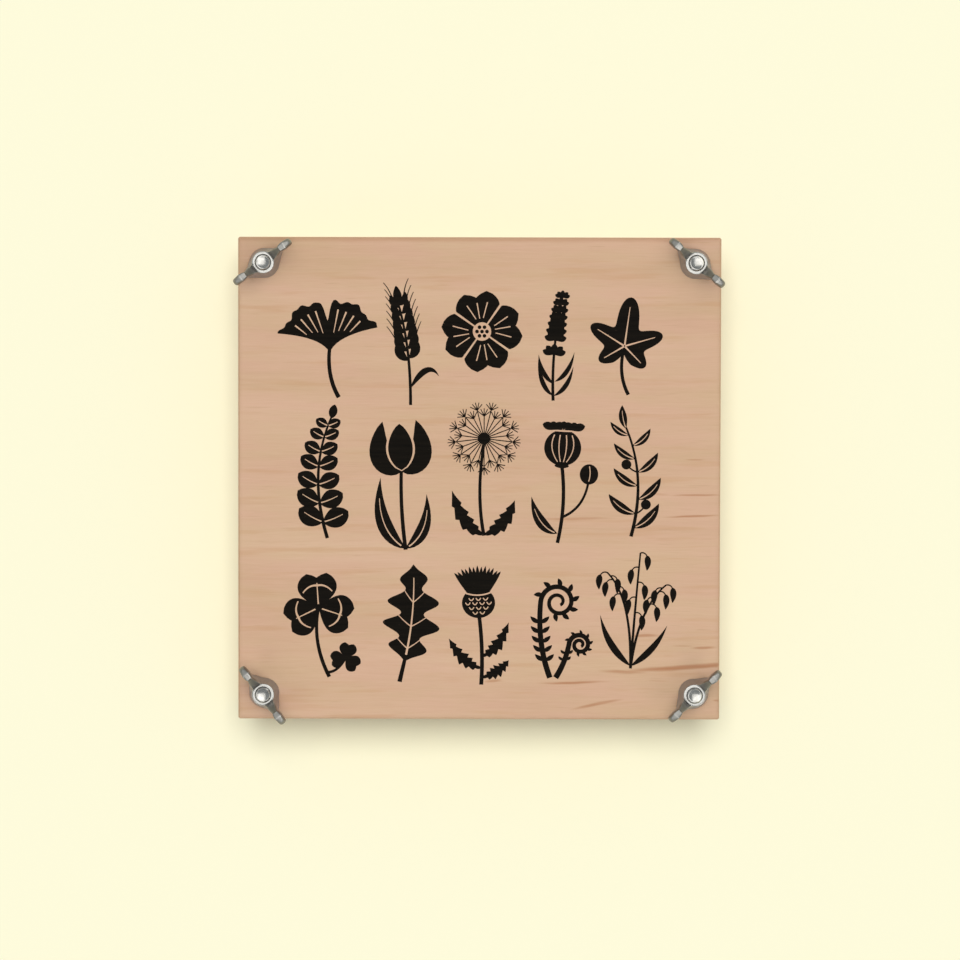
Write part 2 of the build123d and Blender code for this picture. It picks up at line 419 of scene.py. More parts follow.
def ink(name):
    """Black printing ink that lets a little of the wood's grain through."""
    s = Shader(name)
    place, _ = s.coordinates()
    fibre = s.noise(place, (40, 900, 900), detail=3, roughness=0.6)
    specks = s.noise(place, (500, 2200, 2200))
    colour = s.ramp(fibre, INK_TONES)
    colour = s.mix(s.ease(specks, 0.70, 0.80, 0, 0.4), colour, INK_SPECK)
    return s.surface(colour, s.scaled(fibre, 0.2, 0.62), s.bump(fibre, INK_RELIEF, 0.4), 0.06)


# Mesh helpers


def link(name, data):
    """A new object in the scene."""
    made = bpy.data.objects.new(name, data)
    bpy.context.scene.collection.objects.link(made)
    return made


def cover(mesh, material):
    """Gives a mesh one material."""
    mesh.materials.clear()
    mesh.materials.append(material)


def keep(name, mesh, material, body, node=None, sharp=None):
    """Links a finished mesh as a piece that rides on a body and may stand for a node.

    With sharp, it is shaded smooth between edges of that many degrees.
    """
    cover(mesh, material)
    for face in mesh.polygons:
        face.use_smooth = sharp is not None
    piece = link(name, mesh)
    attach(piece, body)
    if node:
        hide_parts(node)
    if sharp is not None:
        piece.data.set_sharp_from_angle(angle=radians(sharp))


@contextmanager
def editing(mesh):
    """A mesh as a bmesh, which is written back at the end."""
    work = bmesh.new()
    work.from_mesh(mesh)
    yield work
    work.to_mesh(mesh)
    work.free()
    mesh.update()


def outward(mesh):
    """Turns the faces of each shell outward."""
    with editing(mesh) as work:
        bmesh.ops.recalc_face_normals(work, faces=work.faces)


def mesh_from(name, vertices, faces):
    """A mesh with its faces turned outward."""
    mesh = bpy.data.meshes.new(name)
    mesh.from_pydata(vertices, [], faces)
    outward(mesh)
    return mesh


def around(steps):
    """Cosine and sine of even steps round a circle."""
    angles = (2 * pi * i / steps for i in range(steps))
    return [(cos(a), sin(a)) for a in angles]


def stack(rings):
    """Vertices and faces of a shape through rings of as many points each, closed at both ends."""
    vertices = [point for ring in rings for point in ring]
    count, total = len(rings[0]), len(vertices)
    faces = [tuple(reversed(range(count))), tuple(range(total - count, total))]
    for low in range(0, total - count, count):
        for i in range(count):
            j = (i + 1) % count
            faces.append((low + i, low + j, low + count + j, low + count + i))
    return vertices, faces


def lathe(rows, columns):
    """A turned shape through rows of (radius, height), where a radius may depend on the angle."""
    rings = []
    for radius, height in rows:
        reach = radius if callable(radius) else lambda angle, radius=radius: radius
        radii = [reach(2 * pi * i / columns) * MM for i in range(columns)]
        rings.append([(r * c, r * s, height * MM) for r, (c, s) in zip(radii, around(columns))])
    return stack(rings)


def join_shells(*shells):
    """Puts several closed shells into one list of vertices and faces."""
    vertices, faces = [], []
    for points, sides in shells:
        start = len(vertices)
        vertices.extend(points)
        faces.extend(tuple(start + i for i in side) for side in sides)
    return vertices, faces


def evaluated(mesh, *modifiers):
    """The mesh after modifiers, each given as (type, settings)."""
    stand_in = link("work", mesh)
    for kind, settings in modifiers:
        modifier = stand_in.modifiers.new(kind, kind)
        for key, value in settings.items():
            setattr(modifier, key, value)
    bpy.context.view_layer.update()
    result = bpy.data.meshes.new_from_object(stand_in.evaluated_get(bpy.context.evaluated_depsgraph_get()))
    bpy.data.objects.remove(stand_in)
    return result


# Wing nuts


def add_hull(work, points):
    """Adds the convex hull of some points, in millimetres, to a bmesh."""
    made = [work.verts.new(Vector(p) * MM) for p in points]
    result = bmesh.ops.convex_hull(work, input=made)
    spare = {v for v in result["geom_interior"] + result["geom_unused"] if isinstance(v, bmesh.types.BMVert)}
    bmesh.ops.delete(work, geom=list(spare), context="VERTS")


def ring(radius, height):
    """A level ring of points about the bolt."""
    return [(radius * c, radius * s, height) for c, s in around(HUB_COLUMNS)]


def both_sides(points):
    """Points of (reach, half-width, height) on both cheeks."""
    return [(x, y, z) for x, half, z in points for y in (half, -half)]


def ear_points():
    """The ear of a wing: its whole outline between the cheeks, drawn in on the cheeks themselves."""
    points = []
    for half, crest_in, tip_in, root_in in EAR_LAYERS:
        outline = [(reach + root_in, height) for reach, height in EAR_ROOT]
        for (reach, height, radius), drawn_in in ((EAR_CREST, crest_in), (EAR_TIP, tip_in)):
            drawn = radius - drawn_in
            outline += [(reach + drawn * c, height + drawn * s) for c, s in around(EAR_STEPS)]
        points += [(x, half, z) for x, z in outline]
    return points


def nut_blank():
    """The hub and the wings, melted into one skin."""
    wider, higher = TOP_STOCK
    hub = ring(HUB_BASE_RADIUS, -SEAT_STOCK) + ring(HUB_BASE_RADIUS, HUB_RIM)
    hub += ring(HUB_TOP_RADIUS + wider, HUB_HEIGHT + higher)
    eye = both_sides((EYE_FOOT, *EYE_TOP))
    stalk = [(x, STALK_HALF_WIDTH, z) for x, z in STALK_SIDE]
    rough = bpy.data.meshes.new("nut_rough")
    with editing(rough) as work:
        add_hull(work, hub)
        add_hull(work, ring(HUB_BASE_RADIUS, EYE_FOOT[2]) + eye + [(-x, y, z) for x, y, z in eye])
        for part in (stalk, FLARE, ear_points()):
            for side in (1, -1):
                add_hull(work, [(side * x, y, z) for x, y, z in both_sides(part)])
    return evaluated(
        rough,
        ("REMESH", {"mode": "VOXEL", "voxel_size": NUT_VOXEL * MM}),
        ("SMOOTH", {"factor": SMOOTHING_STEP, "iterations": NUT_SMOOTHING}),
    )


def hollow_at(vertex):
    """How far the skin bends inward at a vertex: the mean rise of its edges."""
    ways = [(edge.other_vert(vertex).co - vertex.co).normalized() for edge in vertex.link_edges]
    return sum(way.dot(vertex.normal) for way in ways) / len(ways)


def fill_corners(work):
    """Rounds out the inner corners of a skin, as forging leaves them."""
    work.normal_update()
    chosen = {v for v in work.verts if hollow_at(v) > FILLET_HOLLOW}
    for _ in range(FILLET_RINGS):
        chosen |= {edge.other_vert(v) for v in chosen for edge in v.link_edges}
    chosen = [v for v in work.verts if v in chosen]
    axes = {f"use_axis_{axis}": True for axis in "xyz"}
    for _ in range(FILLET_ROUNDS):
        bmesh.ops.smooth_vert(work, verts=chosen, factor=SMOOTHING_STEP, **axes)


def face_seat(work):
    """Cuts a nut flat at its seat."""
    cut = bmesh.ops.bisect_plane(
        work,
        geom=work.verts[:] + work.edges[:] + work.faces[:],
        plane_co=(0, 0, 0),
        plane_no=(0, 0, 1),
        clear_inner=True,
    )
    edges = [g for g in cut["geom_cut"] if isinstance(g, bmesh.types.BMEdge)]
    bmesh.ops.edgeloop_fill(work, edges=edges)


def nut_tool():
    """What the bore, its lead-in and the facing of the top take away."""
    lead_width, lead_depth = BORE_LEAD
    below, above = TOOL_OVERRUN
    rows = (
        (BORE_RADIUS, -below),
        (BORE_RADIUS, HUB_HEIGHT - lead_depth),
        (BORE_RADIUS + lead_width, HUB_HEIGHT),
        (FACED_RADIUS, HUB_HEIGHT),
        (FACED_RADIUS, HUB_HEIGHT + above),
    )
    return link("nut_tool", mesh_from("nut_tool", *lathe(rows, TOOL_COLUMNS)))


def wing_nut_mesh():
    """A forged wing nut: a blank that is filleted, faced and bored."""
    skin = nut_blank()
    with editing(skin) as work:
        fill_corners(work)
        face_seat(work)
    tool = nut_tool()
    nut = evaluated(skin, ("BOOLEAN", {"operation": "DIFFERENCE", "object": tool, "solver": "EXACT"}))
    bpy.data.objects.remove(tool)
    with editing(nut) as work:
        bmesh.ops.remove_doubles(work, verts=work.verts, dist=NUT_MERGE * MM)
        bmesh.ops.triangulate(work, faces=[face for face in work.faces if len(face.verts) > 4])
    outward(nut)
    return nut


def bolt_place(corner):
    """Where the axis of a bolt stands on the board."""
    low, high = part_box(f"hex_bolt_{corner}")
    return (low.x + high.x) / 2, (low.y + high.y) / 2


def make_wing_nuts(material):
    mesh = wing_nut_mesh()
    for corner in CORNERS:
        node = f"wing_nut_{corner}"
        low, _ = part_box(node)
        turn = Matrix.Rotation(radians(NUT_ANGLES[corner]), 4, "Z")
        copy = mesh.copy()
        copy.transform(Matrix.Translation((*bolt_place(corner), low.z)) @ turn)
        keep(f"forged_{node}", copy, material, node, node, NUT_SHARP)


# Bolts


def thread_radius(turn):
    """Radius of the thread's profile at a place along its pitch, from 0 to 1: crest, flank, root, flank."""
    down = (turn - THREAD_CREST_SHARE) / THREAD_FLANK_SHARE
    up = (1.0 - turn) / THREAD_FLANK_SHARE
    return THREAD_RADIUS - THREAD_DEPTH * max(0.0, min(down, 1.0, up))


def bolt_shank():
    """The threaded shank: its start plain in the board, its end chamfered and hollowed."""
    plain = THREAD_RADIUS - SHANK_UNDERCUT
    rows = [(plain, -SHANK_SUNK), (plain, THREAD_START - THREAD_RUN_OUT)]
    count = round((BOLT_LENGTH - THREAD_START) / THREAD_PITCH * THREAD_ROWS)
    for k in range(count + 1):
        height = THREAD_START + (BOLT_LENGTH - THREAD_START) * k / count
        limit = min(THREAD_RADIUS, THREAD_RADIUS - END_CHAMFER + BOLT_LENGTH - height)

        def radius(angle, height=height, limit=limit):
            turn = (height / THREAD_PITCH - angle / (2 * pi)) % 1.0
            return min(thread_radius(turn), limit)

        rows.append((radius, height))
    for k in range(DISH_ROWS):
        r = DISH_RADIUS * (1 - k / DISH_ROWS)
        depth = sqrt(DISH_CURVE**2 - r**2) - sqrt(DISH_CURVE**2 - DISH_RADIUS**2)
        rows.append((r, BOLT_LENGTH - depth))
    return lathe(rows, BOLT_COLUMNS)


def bolt_head(corner_on_x):
    """A hexagon head whose corners are turned off by a chamfer below."""
    turn = 0 if corner_on_x else pi / 6
    face_radius = HEAD_FLATS / 2 * HEAD_FACE_SHARE
    corner_radius = HEAD_FLATS / 2 / cos(pi / 6)
    chamfer_height = (corner_radius - face_radius) * tan(radians(HEAD_CHAMFER_ANGLE))

    def hexagon(angle):
        beside_flat = (angle - turn) % (pi / 3) - pi / 6
        return HEAD_FLATS / 2 / cos(beside_flat)

    rows = []
    for k in range(HEAD_CHAMFER_ROWS + 1):
        share = k / HEAD_CHAMFER_ROWS
        limit = face_radius + (corner_radius - face_radius) * share

        def radius(angle, limit=limit):
            return min(hexagon(angle), limit)

        rows.append((radius, chamfer_height * share - HEAD_HEIGHT))
    rows.append((hexagon, 0.0))
    return lathe(rows, HEAD_COLUMNS)


def make_bolts(material):
    low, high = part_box("hex_bolt_front_left")
    corner_on_x = high.x - low.x > high.y - low.y
    shells = join_shells(bolt_shank(), bolt_head(corner_on_x))
    for corner in CORNERS:
        node = f"hex_bolt_{corner}"
        low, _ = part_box(node)
        mesh = mesh_from(f"threaded_{node}", *shells)
        mesh.transform(Matrix.Translation((*bolt_place(corner), low.z + HEAD_HEIGHT * MM)))
        keep(f"threaded_{node}", mesh, material, "base", node, BOLT_SHARP)


# Cardboard


def sheet_shape(node):
    """Half side and corner cut of a sheet, in metres, from its box and the vertices of its solid."""
    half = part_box(node)[1].x
    edge = half - EDGE_TOLERANCE * MM
    at_edge = [abs(v.co.y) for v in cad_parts[node].data.vertices if v.co.x > edge]
    return half, half - max(at_edge)


def octagon(half, cut, rng):
    """The outline of a sheet, with a slightly uneven cut edge."""
    corners = [(half, -half + cut), (half, half - cut), (half - cut, half), (-half + cut, half)]
    corners += [(-x, -y) for x, y in corners]
    points = []
    for k, start in enumerate(corners):
        a, b = Vector(start), Vector(corners[(k + 1) % len(corners)])
        steps = max(1, round((b - a).length / (EDGE_STEP * MM)))
        for i in range(steps):
            p = a.lerp(b, i / steps)
            points.append(p * (1 - rng.random() * EDGE_ROUGHNESS * MM / half))
    return points


def slab(outline, low, high):
    """A flat sheet between two heights."""
    return stack([[(p.x, p.y, z) for p in outline] for z in (low, high)])


def flutes(half, cut, low, high, rng):
    """The waved medium as one closed strip, with its flutes along Y."""
    thickness, inset = MEDIUM * MM, MEDIUM_INSET * MM
    waves_per_metre = 1 / (FLUTE_PITCH * MM)
    middle, swing = (low + high) / 2, (high - low - thickness) / 2
    count = ceil(2 * half * waves_per_metre * FLUTE_STEPS)
    start = rng.random()
    rings = []
    for i in range(count + 1):
        x = -half + inset + 2 * (half - inset) * i / count
        reach = min(half, 2 * half - cut - abs(x)) - inset * (1 + rng.random())
        phase = 2 * pi * (start + (x + half) * waves_per_metre)
        z = middle + swing * sin(phase)
        slope = cos(phase) * swing * 2 * pi * waves_per_metre
        across = Vector((-slope, 1)).normalized() * thickness / 2
        upper, lower = (x + across.x, z + across.y), (x - across.x, z - across.y)
        sides = ((upper, -reach), (upper, reach), (lower, reach), (lower, -reach))
        rings.append([(x, y, z) for (x, z), y in sides])
    return stack(rings)


def make_cardboards(material):
    liner = LINER * MM
    for number, (node, body) in enumerate(CARDBOARDS.items()):
        rng = random.Random(CARDBOARD_SEED + number)
        low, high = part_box(node)
        half, cut = sheet_shape(node)
        shells = join_shells(
            slab(octagon(half, cut, rng), low.z, low.z + liner),
            flutes(half, cut, low.z + liner, high.z - liner, rng),
            slab(octagon(half, cut, rng), high.z - liner, high.z),
        )
        mesh = mesh_from(f"fluted_{node}", *shells)
        keep(f"fluted_{node}", mesh, material, body, node)


# Print: a motif yields (inked, outline) in millimetres, drawn upright from its foot at the origin.
# A later outline lies over the earlier ones, and one that isn't inked leaves bare wood.


def heading(angle):
    """The way at an angle to the right of straight up."""
    return Vector((sin(angle), cos(angle)))


def curve(start, middle, end, steps=14):
    """Points along a bent line from start to end."""
    a, b, c = Vector(start), Vector(middle), Vector(end)
    shares = (i / steps for i in range(steps + 1))
    return [a * (1 - t) ** 2 + b * 2 * t * (1 - t) + c * t**2 for t in shares]


def taper(first, last):
    """Half-width of a stem from its first width to its last."""
    return lambda t: (first + (last - first) * t) / 2


def blade(width, peak=0.45, blunt=1):
    """Half-width of a leaf or petal along its length, widest at peak and rounder with a smaller blunt."""
    power = log(0.5) / log(peak)
    return lambda t: width / 2 * max(0, sin(pi * t**power)) ** blunt


def saw(width, teeth, depth=0.5):
    """Half-width of a leaf with toothed edges."""
    whole = blade(width, 0.5, 0.8)
    return lambda t: whole(t) * (1 - depth * (t * teeth % 1))


def ribbon(line, half_width):
    """The outline around a line with that half-width at each share of its length."""
    left, right = [], []
    last = len(line) - 1
    for i, point in enumerate(line):
        along = (line[min(i + 1, last)] - line[max(i - 1, 0)]).normalized()
        across = Vector((-along.y, along.x)) * half_width(i / last)
        left.append(point + across)
        if across.length > POINT_WIDTH:
            right.append(point - across)
    return left + right[::-1]


def oval(x, y, wide, high, steps=28):
    return [Vector((x + wide * c, y + high * s)) for c, s in around(steps)]


def stem(start, middle, end, first=1.3, last=1):
    yield True, ribbon(curve(start, middle, end), taper(first, last))


def bare(start, middle, end, first=0.5, last=0.3):
    """A line of bare wood."""
    yield False, ribbon(curve(start, middle, end, 8), taper(first, last))


def leaf(start, middle, end, width, peak=0.45, blunt=1, rib=0):
    """A leaf or petal, with a bare rib of that width along it."""
    line = curve(start, middle, end)
    yield True, ribbon(line, blade(width, peak, blunt))
    if rib:
        yield False, ribbon(line[1:-3], taper(rib, rib * 0.5))


def heart(length, width):
    """A heart-shaped leaflet or notched petal with its point at the origin."""
    for side in (-1, 1):
        bend, tip = (side * width * 0.2, length * 0.5), (side * width * 0.26, length)
        yield from leaf((0, 0), bend, tip, width * 0.62, 0.62, 0.7)


def moved(shapes, x, y, turn):
    """Shapes turned by degrees to the left and shifted."""
    c, s = cos(radians(turn)), sin(radians(turn))
    for inked, outline in shapes:
        yield inked, [Vector((x + c * p.x - s * p.y, y + s * p.x + c * p.y)) for p in outline]


def tulip():
    yield from stem((0, 0), (-1.5, 18), (0, 35), 1.7, 1.4)
    yield from leaf((0, 0.5), (-13, 9), (-9, 31), 6.4, 0.42, 1, 0.6)
    yield from leaf((0, 0.5), (11, 6), (10, 23), 5.4, 0.42, 1, 0.6)
    for side in (-1, 1):
        yield from leaf((0, 33), (side * 13, 36), (side * 7, 54.5), 9.5, 0.46, 0.75)
    yield False, ribbon(curve((0, 33.2), (0, 44), (0, 54)), blade(12.2, 0.45, 0.7))
    yield from leaf((0, 33.6), (0, 44), (0, 53.2), 10.4, 0.45, 0.72)


def ginkgo():
    hinge = Vector((0, 15))
    fan = []
    for degrees in range(-66, 67, 2):
        a = radians(degrees)
        notch = 0.42 * exp(-((degrees / 4.5) ** 2))
        reach = 23.5 * (0.95 + 0.035 * cos(11 * a) + 0.02 * cos(29 * a + 1) - notch)
        fan.append(hinge + reach * heading(a))
    left = curve(hinge, (-3.2, 22), fan[0], 10)
    right = curve(fan[-1], (3.2, 22), hinge, 10)
    yield from stem((2.5, -4), (-2, 5), (0, 16.5), 1.8, 1.5)
    yield True, left[:-1] + fan + right[1:-1]
    for degrees in (-48, -37, -26, -15, 15, 26, 37, 48):
        away = heading(radians(degrees))
        near = 7 + 0.11 * abs(degrees)
        yield from bare(hinge + away * near, hinge + away * 14, hinge + away * 18.5, 0.3, 0.7)


def clover():
    yield from stem((2.5, -5), (-4, 10), (0, 24.5), 1.6, 1.3)
    leaflet = [*heart(14.5, 16.5), *bare((0, 1.5), (0, 6), (0, 10.5), 0.6, 0.4)]
    for side in (-1, 1):
        leaflet += bare((side * 6.2, 6.6), (side * 3.4, 10), (0, 9.4), 0.5, 0.9)
    for turn in (0, 112, -112):
        yield from moved(leaflet, 0, 24.5, turn)
    yield from stem((1.6, -3), (6, -3.5), (10, 2.5), 1.2, 1)
    for turn in (-18, 96, -132):
        yield from moved(heart(6.4, 7.4), 10, 2.5, turn)


def poppy_head():
    yield from stem((0, 0), (3, 17), (0, 33), 1.5, 1.5)
    yield True, oval(0, 32.6, 3, 1)
    yield True, oval(0, 40.2, 7.8, 7.6, 40)
    for x in (-4.6, -1.6, 1.6, 4.6):
        yield from bare((x * 0.4, 34.2), (x * 1.35, 40), (x * 0.8, 45.6), 0.4, 0.5)
    yield False, ribbon(curve((-7, 47.6), (0, 47), (7, 47.6)), taper(0.7, 0.7))
    for k in range(-3, 4):
        yield from leaf((k * 0.4, 47.6), (k * 1.6, 48.8), (k * 3, 51.4 - abs(k) * 0.55), 3.4, 0.7, 0.7)
    yield from stem((1.4, 11), (10, 15), (11.5, 25.5), 1.1, 1)
    yield True, oval(11.7, 29.6, 3.9, 4.3)
    yield from bare((11.7, 26.6), (12.6, 29.6), (11.7, 33), 0.4, 0.4)
    yield from leaf((-0.2, 4), (-9, 6), (-12, 19), 4.6, 0.45, 1, 0.5)


def wheat():
    line = curve((0, 0), (2.2, 24), (-1.5, 43), 22)
    yield True, ribbon(line, taper(1.3, 0.9))
    for k in range(7):
        size = 1 - 0.045 * k
        for side in (-1, 1):
            start = line[9 + 2 * k] + Vector((0, 0.9 * (side > 0)))
            tip = start + Vector((side * 3.9 - 0.3, 8)) * size
            yield from leaf(start, start + Vector((side * 4.6, 2.4)) * size, tip, 3.9 * size, 0.5, 0.8)
            awn = tip + Vector((side * 3.4 - 0.4, 7)) * size
            bend = (tip + awn) / 2 + Vector((side * -0.4, 0.4))
            yield from stem(tip - Vector((side * 0.2, 0.8)), bend, awn, 0.5, 0.3)
    top = line[-1]
    yield from leaf(top - Vector((0, 1)), top + Vector((0, 3)), top + Vector((-0.4, 7.6)), 3.6, 0.5, 0.8)
    yield from leaf((0.5, 7), (9, 19), (13, 11), 2.6, 0.4)


def lavender():
    line = curve((0, 0), (-2.5, 22), (1, 45), 30)
    yield True, ribbon(line, taper(1.3, 0.8))
    for k, place in enumerate((13, 17, 19, 21, 23, 25, 27, 29)):
        size = 1 - 0.05 * k
        foot = line[place]
        for degrees in (-78, -44, 0, 44, 78):
            a = radians(degrees)
            away = Vector((sin(a), cos(a) * 0.8 + 0.15)) * 5 * size
            yield from leaf(foot, foot + away * 0.5, foot + away, 2.7 * size, 0.62, 0.75)
    for side, low, high in ((-1, 2, 17), (1, 2, 15), (-1, 7, 19), (1, 8, 21)):
        yield from leaf((0, low), (side * 6, low + 3), (side * 7.5, high), 2)


def oak_leaf():
    steps = 60
    belly = 0.82  # below 1, the leaf is widest nearer its foot
    line = curve((0, 6), (2.6, 26), (-0.6, 47), steps)

    def lobed(t):
        lobes = 0.70 + 0.30 * cos(2 * pi * (4 * t - 0.5))
        return 12.2 * sin(pi * min(1, t**belly)) ** 0.7 * lobes if 0 < t < 1 else 0

    yield from stem((-1.2, -3), (-0.6, 2), (0.2, 8), 1.9, 1.5)
    yield True, ribbon(line, lobed)
    yield False, ribbon(line[4:-8], taper(0.9, 0.4))
    for share in (0.13, 0.37, 0.61):
        foot = line[round(share * steps)]
        reach = 7.6 * sin(pi * (share + 0.12) ** belly)
        for side in (-1, 1):
            bend, tip = Vector((side * reach * 0.5, 2.2)), Vector((side * reach, 5.8))
            yield from bare(foot, foot + bend, foot + tip)


def dandelion():
    yield from stem((0, 0), (-3.5, 18), (0, 39), 1.5, 1.2)
    middle = Vector((0, 41))
    count = 26
    for k in range(count):
        a = 2 * pi * k / count
        away = heading(a)
        tip = middle + away * (12.2 if k % 2 else 9.4)
        yield from stem(middle + away * 1.5, middle + away * 6, tip, 0.45, 0.4)
        for spread in (-52, -26, 0, 26, 52):
            end = tip + heading(a + radians(spread)) * 3.3
            yield from stem(tip, (tip + end) / 2, end, 0.45, 0.35)
    yield True, oval(middle.x, middle.y, 2.7, 2.5)
    for side, tip in ((-1, (-13.5, 19)), (1, (13, 15))):
        yield True, ribbon(curve((0, 0.4), (side * 9, 3), tip, 30), saw(6.8, 5))


def eucalyptus():
    line = curve((3, 0), (-7, 27), (2, 51), 40)
    yield True, ribbon(line, taper(1.5, 0.8))
    for k, place in enumerate((5, 11, 17, 23, 28, 33, 37)):
        size = 1 - 0.085 * k
        foot = line[place]
        for side in (-1, 1):
            bend, tip = Vector((side * 5, 1.4)) * size, Vector((side * 10.4, 5.2)) * size
            yield from leaf(foot, foot + bend, foot + tip, 8.6 * size, 0.55, 0.62, 0.55)
    top = line[-1]
    bend, tip = top + Vector((0.6, 2.4)), top + Vector((1.2, 5.4))
    yield from leaf(top - Vector((0, 0.5)), bend, tip, 3.6, 0.5, 0.7)


def olive():
    line = curve((-3, 0), (5.5, 24), (-2, 46), 40)
    yield True, ribbon(line, taper(1.5, 0.8))
    for k, place in enumerate((3, 8, 13, 18, 23, 28, 33, 37)):
        size = 1 - 0.05 * k
        side = -1 if k % 2 else 1
        foot = line[place]
        bend, tip = Vector((side * 7.5, 1.6)) * size, Vector((side * 11.5, 9.5)) * size
        yield from leaf(foot, foot + bend, foot + tip, 4.3 * size, 0.5, 0.85, 0.5)
        if k in (1, 4):
            fruit = foot + Vector((-side * 4.4, 3.5))
            yield from stem(foot, foot + Vector((-side * 2.4, 0.8)), fruit, 0.7, 0.6)
            yield True, oval(fruit.x, fruit.y, 2.1, 2.1)
    top = line[-1]
    bend, tip = top + Vector((-1.6, 4)), top + Vector((-1, 9.5))
    yield from leaf(top - Vector((0, 0.5)), bend, tip, 3.4, 0.5, 0.85, 0.4)


def ivy():
    inner = 7.2
    # degrees from straight up, height above inner and width in degrees
    lobes = ((0, 13.5, 21), (66, 9.5, 19), (-66, 9.5, 19), (128, 5.2, 20), (-128, 5.2, 20))
    outline = []
    for degrees in range(-174, 175, 3):
        rises = (height * exp(-(((degrees - at) / width) ** 2)) ** 0.9 for at, height, width in lobes)
        reach = (inner + sum(rises)) * min(1, 0.35 + (180 - abs(degrees)) / 40)
        outline.append(heading(radians(degrees)) * reach)
    yield from stem((4.5, -20), (-1.5, -12), (0, 0.5), 1.5, 1.3)
    yield True, outline[::-1]
    for at, height, _ in lobes:
        away = heading(radians(at)) * (inner + height)
        yield from bare(away * 0.02, away * 0.4, away * 0.8, 0.75, 0.3)


def thistle():
    yield from stem((0, 0), (1.5, 15), (0, 30), 1.7, 1.6)
    for k in range(-6, 7):
        a = radians(k * 6.6)
        tip = (sin(a) * 15.5, 38 + cos(a) * 12.5 - 0.5 * (k % 2))
        yield from leaf((k * 0.55, 36.5), (k * 0.8, 42), tip, 2, 0.6, 0.7)
    yield True, oval(0, 34.6, 7, 6.4, 36)
    yield False, ribbon(curve((-5.6, 39), (0, 36.8), (5.6, 39)), taper(0.6, 0.6))
    for row, count in ((29.9, 2), (31.9, 3), (33.9, 4), (35.7, 3)):
        for k in range(count):
            x = (k - (count - 1) / 2) * 3
            yield from bare((x - 1, row + 1), (x, row - 1), (x + 1, row + 1), 0.45, 0.45)
    for side, low, tip in ((-1, 7, (-13, 20)), (1, 12, (12.5, 26)), (1, 3, (12, 10))):
        yield True, ribbon(curve((0.4, low), (side * 7.5, low + 1.5), tip, 32), saw(6.2, 6, 0.62))


def dogwood():
    petal = list(heart(16.5, 18.5))
    for x in (-4.4, 0, 4.4):
        petal += bare((x * 0.35, 5.5), (x * 0.7, 9), (x, 12.2 - abs(x) * 0.1), 0.4, 0.5)
    for turn in (10, 100, 190, 280):
        yield from moved(petal, 0, 0, turn)
    for turn in (55, 145, 235, 325):
        yield from moved(bare((0, 3), (0, 9), (0, 17), 0.6, 1.1), 0, 0, turn)
    yield False, oval(0, 0, 3.9, 3.9)
    for x, y in ((0, 0), *around(6)):
        yield True, oval(2.1 * x, 2.1 * y, 0.8, 0.8, 12)


def oats():
    for bend, end, outer, places in (
        ((-1, 30), (-12, 40), -1, (20, 23, 26, 28, 30)),
        ((0.5, 26), (1.5, 49), 1, (14, 18, 22, 26, 30)),
        ((2, 26), (13, 36), 1, (20, 23, 26, 28, 30)),
    ):
        line = curve((0, 0), bend, end, 30)
        yield True, ribbon(line, taper(1.2, 0.7))
        for k, place in enumerate(places):
            side = -outer if k % 2 else outer
            foot = line[place]
            drop = foot + Vector((side * 2.8, -1.2))
            yield from stem(foot, foot + Vector((side * 1.9, 0.6)), drop, 0.6, 0.5)
            belly, tip = drop + Vector((side * 0.9, -2.6)), drop + Vector((side * 0.3, -6.2))
            yield from leaf(drop + Vector((0, 0.3)), belly, tip, 2.7, 0.4, 0.8)
    yield from leaf((0, 1), (-11, 9), (-14, 22), 3, 0.4)
    yield from leaf((0, 1), (10, 8), (14.5, 19), 2.8, 0.4)


def fiddlehead():
    """Two young fern fronds, still rolled up."""
    steps = 48
    for x, height, radius, leaflets in ((-5, 32, 7.4, (4, 6, 8, 10, 12)), (7, 14, 4.6, (9, 12))):
        size = radius / 7.4
        middle = Vector((x + radius, height))
        spiral = []
        for i in range(steps + 1):
            t = i / steps
            a = pi * (1 - 3.3 * t)
            spiral.append(middle + radius * (1 - 0.8 * t) * Vector((cos(a), sin(a))))
        stalk = curve((x * 0.2, 0), (x - 1.5, height * 0.45), spiral[0], 16)
        yield True, ribbon(stalk[:-1] + spiral, taper(2.4, 1.3))
        for i in range(2, steps // 2, 3):
            foot = spiral[i]
            along = (spiral[i + 1] - foot).normalized()
            tip = foot + ((foot - middle).normalized() * 3.2 - along * 1.6) * size
            yield from leaf(foot, (foot + tip) / 2 + along * 0.5, tip, 2 * size, 0.5, 0.8)
        for k in leaflets:
            foot = stalk[k]
            for way in (-1, 1):
                tip = foot + Vector((way * 4, 2.6)) * size
                yield from leaf(foot, foot + Vector((way * 2.2, 0.4)), tip, 1.9 * size, 0.5, 0.8)


# Motif, x and y of its foot on the board, turn in degrees
LAYOUT = (
    (ginkgo, -62, 38, 4),
    (wheat, -29, 31, 5),
    (dogwood, 1, 62, 0),
    (lavender, 31, 33, -4),
    (ivy, 61, 56, -8),
    (eucalyptus, -67, -25, -3),
    (tulip, -31, -30, 3),
    (dandelion, 2, -24, 0),
    (poppy_head, 33, -27, -3),
    (olive, 67, -24, 4),
    (clover, -66, -79, 4),
    (oak_leaf, -32, -83, -6),
    (thistle, 1, -87, 2),
    (fiddlehead, 31, -84, 0),
    (oats, 64, -80, -3),
)


def to_the_left(outline):
    """The outline, running to the left round its inside."""
    area = sum(a.x * b.y - b.x * a.y for a, b in zip(outline, outline[1:] + outline[:1]))
    return outline if area > 0 else outline[::-1]


